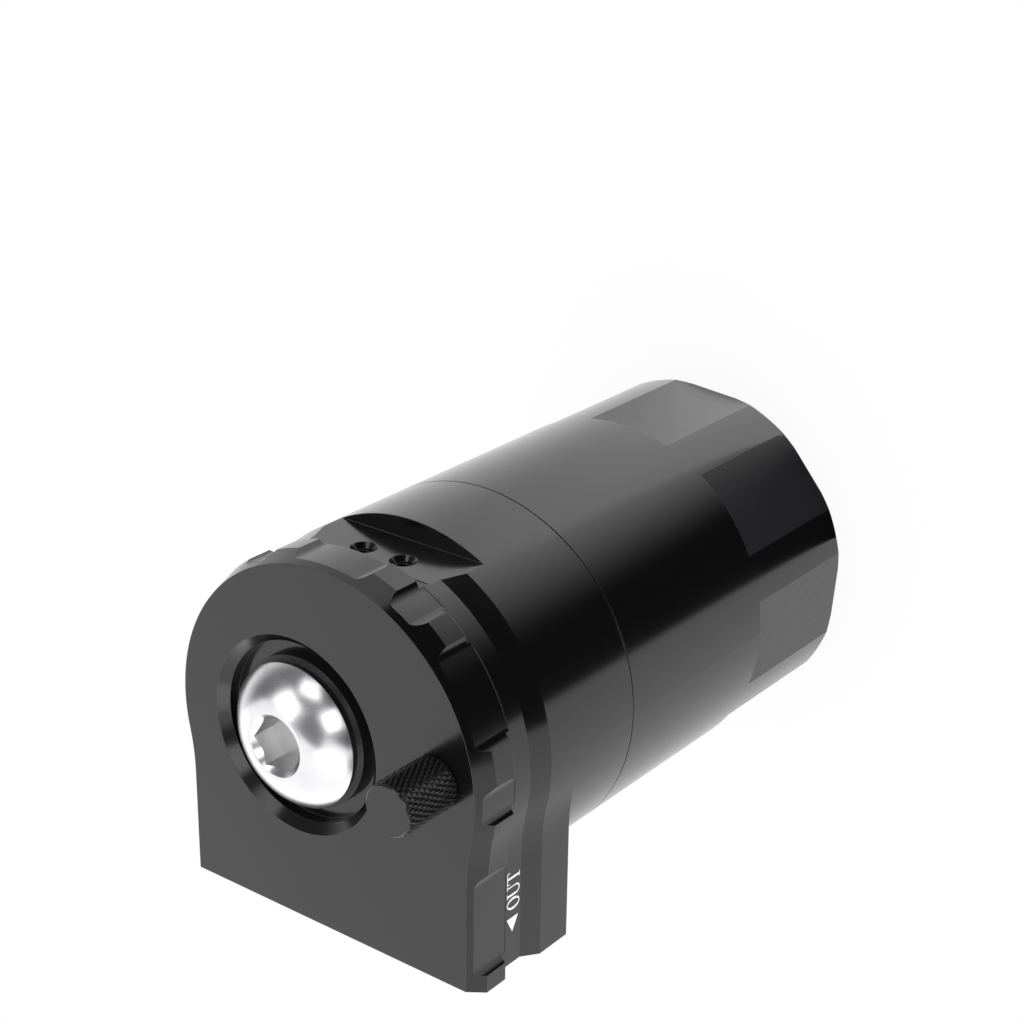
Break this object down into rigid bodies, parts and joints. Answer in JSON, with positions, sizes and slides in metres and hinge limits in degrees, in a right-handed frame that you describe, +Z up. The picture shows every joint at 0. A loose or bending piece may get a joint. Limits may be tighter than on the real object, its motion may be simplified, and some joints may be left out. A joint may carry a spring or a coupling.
{
  "type": "oil catch can",
  "caption": "Cylindrical oil separator can with a screw-off cup, milled head with side ports, plugged spare port and dipstick.",
  "frame": {"origin": "centre of the cup's flat base", "axes": "+Z up along the can's axis towards the head's face, +Y out of the bracket seat, the hose ports face -Y"},
  "size_m": [0.07, 0.0733, 0.1301],
  "materials": {
    "black_anodised": "satin black anodised",
    "polished_steel": "polished stainless",
    "black_washer": "black oxide",
    "black_knob": "black anodised, knurled",
    "seal_rubber": "matt nitrile rubber",
    "plain_steel": "bright stainless",
    "bare_aluminium": "bare machined",
    "knitted_mesh": "knitted stainless wire",
    "fibre": "red fibre",
    "yellow_brass": "turned",
    "sintered_bronze": "porous sintered"
  },
  "bodies": {
    "head": {"head": "black_anodised", "inlet_tube": "bare_aluminium", "filter_washer": "fibre", "filter_nipple": "yellow_brass", "filter_element": "sintered_bronze", "upper_plate": "bare_aluminium", "mesh_pad": "knitted_mesh", "lower_plate": "bare_aluminium", "standoffs": "bare_aluminium", "pad_spacers": "bare_aluminium", "stack_washers": "plain_steel", "stack_screws": "plain_steel"},
    "cup_carrier": {"cup_seal": "seal_rubber"},
    "cup": {"cup": "black_anodised"},
    "plug_carrier": {"plug_washer": "black_washer", "plug_lip": "seal_rubber"},
    "plug": {"plug_screw": "polished_steel"},
    "dip_carrier": {"dip_seal": "seal_rubber"},
    "dipstick": {"dip_knob": "black_knob", "dip_rod": "plain_steel"}
  },
  "joints": [
    {"name": "cup_drop", "type": "slide", "parent": "head", "child": "cup_carrier", "axis": [0, 0, -1], "range_m": [0, 0.012]},
    {"name": "cup_turn", "type": "hinge", "parent": "cup_carrier", "child": "cup", "pos_m": [0, 0, 0], "axis": [0, 0, -1], "range_deg": [0, 2160]},
    {"name": "plug_lift", "type": "slide", "parent": "head", "child": "plug_carrier", "axis": [0, 0, 1], "range_m": [0, 0.0135]},
    {"name": "plug_turn", "type": "hinge", "parent": "plug_carrier", "child": "plug", "pos_m": [-0.0067, 0, 0.1156], "axis": [0, 0, 1], "range_deg": [0, 3240]},
    {"name": "dip_pull", "type": "slide", "parent": "head", "child": "dip_carrier", "axis": [0, 0, 1], "range_m": [0, 0.085]},
    {"name": "dip_turn", "type": "hinge", "parent": "dip_carrier", "child": "dipstick", "pos_m": [0.0254, 0.0024, 0.1176], "axis": [0, 0, 1], "continuous": true}
  ],
  "couplings": [
    {"joint": "cup_drop", "follows": "cup_turn", "m_per_rad": 0.00031831},
    {"joint": "plug_lift", "follows": "plug_turn", "m_per_rad": 0.00023873}
  ]
}
